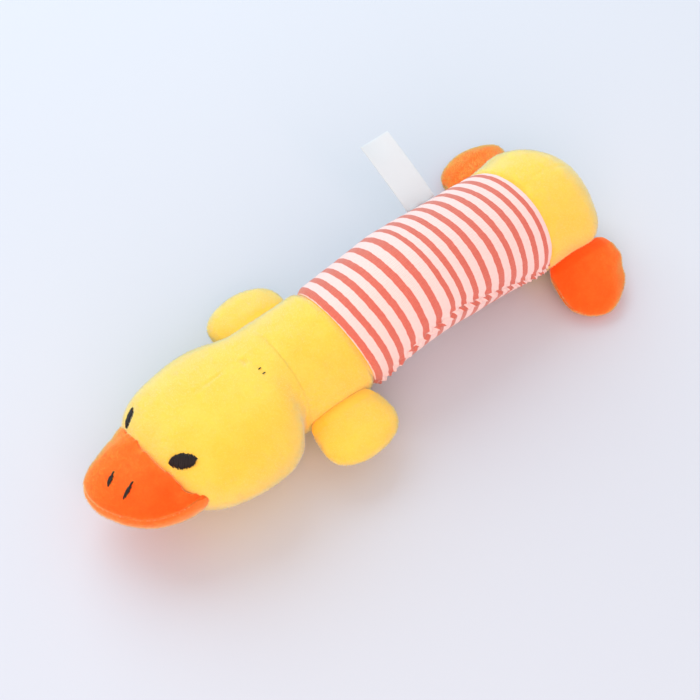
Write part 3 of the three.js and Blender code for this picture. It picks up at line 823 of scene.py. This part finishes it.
def corner_lift(spots, centre):
    """How far up the mouth seam is drawn at the near corner, in millimetres."""
    return CORNER_LIFT * bell(apart(spots, centre), LIFT_WIDTH)


spots = places(bill.data)
edge = distance_to(spots, mouth, mouth_normal) - corner_lift(spots, MOUTH_CORNER)
edge += 0.35 * uneven(spots, 6, 4)
fold = FOLD_DEPTH * bell(apart(spots, MOUTH_FOLD), FOLD_WIDTH)
fold -= CORNER_FULL * bell(apart(spots, MOUTH_CORNER), CORNER_WIDTH)
press(bill, 0.8 * bell(edge, 0.9) + fold - PLUSH_GROWTH + 0.35 * uneven(spots, 9, 5))
spots = places(bill.data)
move_to(bill.data, spots - np.outer(corner_lift(spots, MOUTH_CORNER) * MM, np.array(mouth_normal)))
bill_top = parted(bill, "bill_top", mouth, mouth_normal)
for piece in (bill_top, bill):
    spots = places(piece.data)
    lowered = MOUTH_CORNER - mouth_normal * CORNER_LIFT * MM
    move_to(piece.data, spots + np.outer(corner_lift(spots, lowered) * MM, np.array(mouth_normal)))
bill.name = "bill_bottom"
dress(bill_top, orange_plush)
dress(bill, light_orange_plush)
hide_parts("bill_top_panel", "bill_stuffing")
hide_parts("bill_bottom_panel")
for piece in (bill_top, bill):
    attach(piece, "head")
for name, panel, tips, slot, seed in (
    ("bill_top_pile", bill_top, orange_tips, "orange_plush", 34),
    ("bill_bottom_pile", bill, light_orange_tips, "light_orange_plush", 35),
):
    tufts = pile(
        panel, name, tips, SMALL_TUFTS, BILL_PILE_LENGTH, seed,
        lambda roots: distance_to(roots, neck, head_forward) < BILL_ROOT + 2,
    )
    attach(tufts, "head")

# Wings and feet: flat pads, each sewn round its edge and at its root

FOOT_CORNER = Vector((0.643, 0.766, 0))
CORNER_TRIM, FAR_FOOT_BACK = 3.3, 4.2
ROOT_TUCK, ROOT_FLATTER = 2.6, 0.45
LIMB_SEEDS = {"left": 46, "right": 45}


def add_limb(kind, side, joint, material, tips, growth):
    """A wing or a foot: a skin over its two panels and its stuffing, and its pile."""
    body = f"{kind}_{side}"
    top, bottom, inside = f"{body}_top_panel", f"{body}_bottom_panel", f"{body}_stuffing"
    limb = copied(f"{body}_skin", top, bottom, inside)
    hinge, across = Vector(joint["pos_m"]), Vector(joint["axis"])
    low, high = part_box(inside)
    out = (low + high) / 2 - hinge
    out = (out - across * out.dot(across)).normalized()
    flat_up = out.cross(across).normalized()
    remesh(limb, LIMB_VOXEL)
    smooth(limb, 3)
    spots = places(limb.data)
    root = distance_to(spots, hinge, out)
    edge = distance_to(spots, hinge, flat_up)
    inward = 1 - ramp(root, -3, 8)
    moved = spots - np.outer(inward * ROOT_TUCK * MM, np.array(out))
    moved += np.outer(inward * edge * ROOT_FLATTER * MM, np.array(flat_up))
    move_to(limb.data, moved)
    stuff(limb, SMALL_SWELL, np.maximum(bell(edge, 1.2), bell(root, 3)))
    subdivide(limb, 2)
    spots = places(limb.data)
    root = distance_to(spots, hinge, out)
    if body == "foot_left":
        beyond = ramp(distance_to(spots, Vector(), FOOT_CORNER), 104, 115)
        beyond *= ramp(spots[:, 0] / MM, 34, 42)
        spots -= np.outer(CORNER_TRIM * beyond * MM, np.array(FOOT_CORNER))
    if body == "foot_right":
        spots[:, 1] += FAR_FOOT_BACK * ramp(root, 0, 14) * MM
    move_to(limb.data, spots)
    edge = distance_to(spots, hinge, flat_up) + 0.4 * uneven(spots, 7, 6)
    seam = 0.7 * bell(edge, 0.8) * ramp(root, 0, 6)
    press(limb, seam - growth + 0.3 * uneven(spots, 8, 7))
    dress(limb, material)
    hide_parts(top, bottom, inside)
    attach(limb, body)
    tufts = pile(
        limb, f"{body}_pile", tips, SMALL_TUFTS, PILE_LENGTH, LIMB_SEEDS[side],
        lambda roots: distance_to(roots, hinge, out) < -0.8,
    )
    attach(tufts, body)


for side in ("left", "right"):
    flap = joints[f"wing_{side}_flap"]
    add_limb("wing", side, flap, yellow_plush, yellow_tips, 0)
for side in ("left", "right"):
    flex = joints[f"foot_{side}_flex"]
    add_limb("foot", side, flex, orange_plush, orange_tips, FOOT_GROWTH)

# Sleeve: a striped knitted tube round the stuffing, gathered at one seam

WAIST_SHARE = 0.4
SLEEVE_SIDES, SLEEVE_RINGS = 160, 150
SEAM_PLACES = ((0, -24), (0.13, -9), (0.25, 0), (0.45, 4), (0.6, 0), (0.8, -12), (1, -13))
SEAM_RIDGE, SEAM_GROOVE, PUCKER, PUCKER_STEP = 0.75, 1.0, 0.22, 2.9
SLEEVE_GROWTH, FRONT_HEM_DIP, REAR_HEM_DIP = 0.75, 1.2, 0.5


def turn_at(share):
    """How a ring at a share of the sleeve's length is turned."""
    if share < WAIST_SHARE:
        return sleeve_front.turn.slerp(sleeve_waist.turn, share / WAIST_SHARE)
    return sleeve_waist.turn.slerp(sleeve_rear.turn, (share - WAIST_SHARE) / (1 - WAIST_SHARE))


def centre_at(share):
    """The middle of that ring, on one smooth line through the body."""
    beyond = sleeve_rear.centre + Vector((-2.1, 19.4, -1.9)) * MM
    points = [neck, sleeve_front.centre, sleeve_waist.centre, sleeve_rear.centre, beyond]
    if share < WAIST_SHARE:
        before, start, end, after = points[:4]
        part = share / WAIST_SHARE
    else:
        before, start, end, after = points[1:]
        part = (share - WAIST_SHARE) / (1 - WAIST_SHARE)
    return (
        start
        + (end - before) * 0.5 * part
        + (before * 2 - start * 5 + end * 4 - after) * 0.5 * part**2
        + (start * 3 - before - end * 3 + after) * 0.5 * part**3
    )


def from_seam(share, column):
    """How far round the sleeve a place lies from the gathered seam, in millimetres."""
    seam = float(np.interp(share, *zip(*SEAM_PLACES)))
    gap = (column * 360 / SLEEVE_SIDES - seam + 180) % 360 - 180
    return math.radians(gap) * SLEEVE_RADIUS


def direction_at(turn, column):
    angle = 2 * math.pi * column / SLEEVE_SIDES
    return turn @ Vector((math.cos(angle), 0, math.sin(angle)))


def reaches_of(solid):
    """How far the solid's surface lies from the centre line, for each ring and side, evened out."""
    tree = BVHTree.FromObject(solid, bpy.context.evaluated_depsgraph_get())
    kernel = np.array([1, 2, 3, 4, 5, 4, 3, 2, 1]) / 25
    reaches = []
    for row in range(SLEEVE_RINGS + 1):
        share = min(max(row / SLEEVE_RINGS, 0.004), 0.996)
        centre, turn = centre_at(share), turn_at(share)
        found = []
        for column in range(SLEEVE_SIDES):
            direction = direction_at(turn, column)
            hit = tree.ray_cast(centre + direction * 60 * MM, -direction)[0]
            found.append((hit - centre).length if hit else SLEEVE_RADIUS * MM)
        reaches.append(np.convolve(found[-4:] + found + found[:4], kernel, "valid"))
    reaches = np.array(reaches)
    for row in range(1, SLEEVE_RINGS):
        reaches[row] = reaches[max(0, row - 4) : row + 5].mean(axis=0)
    return reaches


def knit_relief(share, arc):
    """How far the cloth stands out at a place, and how far it slides along: the seam's ridges,
    groove and puckers, soft dents, and the dip at each hem."""
    along = share * SLEEVE_LENGTH
    pucker = along / PUCKER_STEP + 0.8 * noise.noise(Vector((along / 7, 2.2, 0)))
    gather = math.sin(2 * math.pi * pucker + arc * 1.1)
    near = math.exp(-((arc / 4.5) ** 2))
    ridge = math.exp(-(((abs(arc) - 1.7) / 1.1) ** 2))
    out = SEAM_RIDGE * ridge * (0.7 + 0.6 * gather) + PUCKER * near * gather
    out -= SEAM_GROOVE * math.exp(-((arc / 0.7) ** 2))
    out += 0.35 * noise.noise(Vector((along / 12, arc / 16, 5.5)))
    out += 0.14 * noise.noise(Vector((along / 3, arc / 9, 1.5))) + SLEEVE_GROWTH
    end = min(share, 1 - share) * SLEEVE_LENGTH
    out -= (REAR_HEM_DIP if share > 0.5 else FRONT_HEM_DIP) * math.exp(-((end / 1.3) ** 2))
    slide = 0.5 * near * noise.noise(Vector((along / 5, 7.7, arc / 4))) * min(end / 3, 1)
    return out, slide


def stripe_pull(share, arc):
    """How far the seam and the knit pull the stripes along, in millimetres."""
    pull = 1.3 * math.exp(-((arc / 3.0) ** 2)) * math.tanh(arc / 1.1)
    pull += 1.4 * math.exp(-((arc / 2.0) ** 2))
    return pull + 0.35 * noise.noise(Vector((share * SLEEVE_LENGTH / 9, arc / 14, 9.5)))


def sleeve_shape():
    tube = bmesh.new()
    ring = bmesh.ops.create_circle(tube, segments=SLEEVE_SIDES, radius=1)["verts"]
    cloth = tube.loops.layers.uv.new("cloth")
    rows = [ring]
    edges = tube.edges[:]
    for _ in range(SLEEVE_RINGS):
        made = bmesh.ops.extrude_edge_only(tube, edges=edges)["geom"]
        edges = [item for item in made if isinstance(item, bmesh.types.BMEdge)]
        edges = [edge for edge in edges if all(len(vertex.link_edges) < 4 for vertex in edge.verts)]
        rows.append([item for item in made if isinstance(item, bmesh.types.BMVert)])
    close(tube, [edge for edge in tube.edges if edge.is_boundary])
    reaches = reaches_of(frame["nodes"]["striped_sleeve"])
    column_of = {}
    for row, verts in enumerate(rows):
        share = row / SLEEVE_RINGS
        centre, turn = centre_at(share), turn_at(share)
        for column, vertex in enumerate(verts):
            column_of[vertex] = (row, column)
            out, slide = knit_relief(share, from_seam(share, column))
            radius = reaches[row][column] + out * MM
            vertex.co = centre + direction_at(turn, column) * radius
            vertex.co += turn @ Vector((0, slide * MM, 0))
    for face in tube.faces:
        columns = [column_of[loop.vert][1] for loop in face.loops]
        wraps = max(columns) - min(columns) > SLEEVE_SIDES / 2
        for loop in face.loops:
            row, column = column_of[loop.vert]
            if wraps and column < SLEEVE_SIDES / 2:
                column += SLEEVE_SIDES
            share = row / SLEEVE_RINGS
            pull = stripe_pull(share, from_seam(share, column))
            loop[cloth].uv = (column / SLEEVE_SIDES, share + pull / SLEEVE_LENGTH)
    bmesh.ops.recalc_face_normals(tube, faces=tube.faces)
    mesh = bpy.data.meshes.new("sleeve")
    tube.to_mesh(mesh)
    tube.free()
    return add_piece("sleeve", mesh)


sleeve = sleeve_shape()
sleeve_back = parted(sleeve, "sleeve_rear", sleeve_waist.centre, sleeve_waist.back)
sleeve.name = "sleeve_front"
for piece in (sleeve, sleeve_back):
    dress(piece, striped_jersey)
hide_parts("striped_sleeve", "waist_stuffing")
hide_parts("belly_stuffing")
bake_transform(sleeve)
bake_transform(sleeve_back)

# Label: a bare woven ribbon sewn in on the far side


def ribbon_strip():
    """A woven strip that curves down from its sewn end, its free corners curling up a little."""
    angle = math.radians(LABEL_ANGLE)
    out = Vector((-math.cos(angle), 0, math.sin(angle)))
    up = Vector((math.sin(angle), 0, math.cos(angle)))
    corners = places(frame["nodes"]["label_tag"].data)
    reached = corners @ np.array(out)
    sewn = corners[reached < reached.min() + 0.1 * MM]
    root = Vector((sewn.min(axis=0) + sewn.max(axis=0)) / 2)
    strip = bmesh.new()
    bmesh.ops.create_grid(strip, x_segments=14, y_segments=32, size=0.5)
    cloth = strip.loops.layers.uv.new("cloth")
    for face in strip.faces:
        for loop in face.loops:
            loop[cloth].uv = (loop.vert.co.x + 0.5, loop.vert.co.y + 0.5)
    for vertex in strip.verts:
        across, along = vertex.co.x, vertex.co.y + 0.5
        sag = LABEL_LENGTH / 2 * math.tan(math.radians(LABEL_BEND)) * along**2
        curl = 0.8 * along**2 * (2 * across) ** 2
        wave = 0.5 * along * noise.noise(Vector((across * 1.2, along * 2.5, 3.3)))
        vertex.co = root + (out * LABEL_LENGTH * along + up * (curl + wave - sag)) * MM
        vertex.co.y += LABEL_WIDTH * across * MM
    mesh = bpy.data.meshes.new("label")
    strip.to_mesh(mesh)
    strip.free()
    piece = add_piece("label", mesh)
    wall = piece.modifiers.new("wall", "SOLIDIFY")
    wall.thickness = LABEL_WALL * MM
    wall.offset = 0
    rounding = piece.modifiers.new("edges", "BEVEL")
    rounding.width = 0.12 * MM
    rounding.segments = 2
    settle(piece)
    return piece


label = ribbon_strip()
dress(label, white_ribbon)
label.data.set_sharp_from_angle(angle=math.radians(35))
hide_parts("label_tag")
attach(label, "label")

# Eyes in satin stitch, nostrils and tack stitches in straight stitch

head_tree = surface_of(head_skin)
bill_tree = surface_of(bill_top)


def satin_eye(side, count, seed):
    """An oval of close threads across the eye's length, each a little longer or shorter."""
    centre, start, end, length, width = EYES[side]
    chooser = random.Random(seed)
    surface, outward = head_tree.find_nearest(centre)[:2]
    along = (end - start).normalized()
    across = outward.cross(along).normalized()
    along = across.cross(outward)
    strokes = []
    for k in range(count):
        share = (k + 0.5) / count * 2 - 1
        reach = width / 2 * math.sqrt(1 - share**2) ** 0.85 * chooser.uniform(0.9, 1.08)
        slant = chooser.uniform(0.35, 0.75)
        middle = surface + along * (share * length / 2) * MM
        top = middle + (across * reach + along * slant) * MM
        bottom = middle - (across * reach * chooser.uniform(0.92, 1.05) + along * slant) * MM
        strokes.append(stroke_over(head_tree, top, bottom, outward, chooser.uniform(0.55, 0.8)))
    piece = threads(f"eye_{side}_threads", strokes, 0.58)
    dress(piece, black_thread)
    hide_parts(f"eye_{side}")
    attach(piece, "head")


satin_eye("left", 26, 11)
satin_eye("right", 16, 12)


def straight_stitches(name, node, tree, ends, thickness, seed, tails):
    """Threads that run side by side between two places, each a little out of line. tails gives
    each thread's distance from the middle one, and the shares where it starts and ends."""
    chooser = random.Random(seed)
    start, end = ends
    outward = tree.find_nearest((start + end) / 2)[1]
    along = (end - start).normalized()
    across = outward.cross(along).normalized()
    strokes = []
    for offset, first, last in tails:
        a = start.lerp(end, first) + across * (offset + chooser.uniform(-0.12, 0.12)) * MM
        b = start.lerp(end, last) + across * (offset * 0.5 + chooser.uniform(-0.15, 0.15)) * MM
        strokes.append(stroke_over(tree, a, b, outward, chooser.uniform(0.2, 0.4)))
    piece = threads(name, strokes, thickness)
    dress(piece, black_thread)
    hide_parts(node)
    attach(piece, "head")


NOSTRIL_ENDS = {
    "left": (head_point(68.5, 6.5, 7), head_point(74.6, 8.9, 5)),
    "right": (head_point(70.8, -2.9, 6.6), head_point(75.8, 0.5, 5.6)),
}
NOSTRIL_TAILS = (
    (0, 0, 0.7), (0.4, 0.3, 0.97), (-0.4, 0.36, 0.93), (0, 0.45, 1.06), (0.55, 0.55, 0.88),
)
NAPE_TAILS = ((0, 0, 1), (0.2, 0.1, 0.8))
for side, thickness, seed in (("left", 0.75, 21), ("right", 0.7, 22)):
    name, ends = f"nostril_{side}", NOSTRIL_ENDS[side]
    straight_stitches(f"{name}_threads", name, bill_tree, ends, thickness, seed, NOSTRIL_TAILS)
for order, place in (("outer", NAPE[0]), ("inner", NAPE[1])):
    ends = (place - head_forward * 0.6 * MM, place + head_forward * 0.6 * MM)
    name, node = f"nape_{order}_thread", f"nape_stitch_{order}"
    straight_stitches(name, node, head_tree, ends, 0.4, 23, NAPE_TAILS)

# Studio


def backdrop():
    look = Look("pale_floor", 0.95, Specular_IOR_Level=0.1)
    look.paint(look.mix(look.speckle(400, 1.0), (0.56, 0.635, 0.71), (0.59, 0.665, 0.74)))
    shape = bmesh.new()
    bmesh.ops.create_grid(shape, x_segments=1, y_segments=1, size=4)
    mesh = bpy.data.meshes.new("floor")
    shape.to_mesh(mesh)
    shape.free()
    floor = add_piece("floor", mesh)
    floor.data.materials.append(look.material)


backdrop()


def lamp(name, place, size, power, colour):
    """A round lamp that shines at the middle of the toy."""
    light = bpy.data.lights.new(name, "AREA")
    light.shape = "DISK"
    light.size = size
    light.energy = power
    light.color = colour
    holder = bpy.data.objects.new(name, light)
    bpy.context.scene.collection.objects.link(holder)
    holder.location = place
    holder.rotation_mode = "QUATERNION"
    holder.rotation_quaternion = (-Vector(place)).to_track_quat("-Z", "Y")


lamp("key", (-1.1, 0.15, 0.95), 1.7, 17, (0.83, 0.95, 1.0))
lamp("fill", (1.6, -1.1, 1.3), 2.4, 50, (1.0, 0.57, 0.46))

world = bpy.data.worlds.new("studio")
world.use_nodes = True
sky = world.node_tree.nodes["Background"].inputs
sky["Color"].default_value = (0.95, 0.97, 1.0, 1)
sky["Strength"].default_value = 0.73
scene = bpy.context.scene
scene.world = world
scene.view_settings.view_transform = "Standard"

# Camera: from the front left, well above

CAMERA_AZIMUTH, CAMERA_HEIGHT, CAMERA_DISTANCE = 50.13, 54.0, 661.0
TARGET_SIDE, TARGET_BACK = -6.15, 42.76
target = Vector((neck.x + TARGET_SIDE * MM, neck.y + TARGET_BACK * MM, 0))
azimuth, height = math.radians(CAMERA_AZIMUTH), math.radians(CAMERA_HEIGHT)
level = Vector((math.sin(azimuth), -math.cos(azimuth), 0))
backward = level * math.cos(height) + Vector((0, 0, math.sin(height)))
camera = bpy.data.objects.new("camera", bpy.data.cameras.new("camera"))
camera.data.lens = 85
camera.data.sensor_width = 36
camera.data.clip_start = 0.02
camera.location = target + backward * CAMERA_DISTANCE * MM
camera.rotation_mode = "QUATERNION"
camera.rotation_quaternion = (-backward).to_track_quat("-Z", "Y")
scene.collection.objects.link(camera)
scene.camera = camera
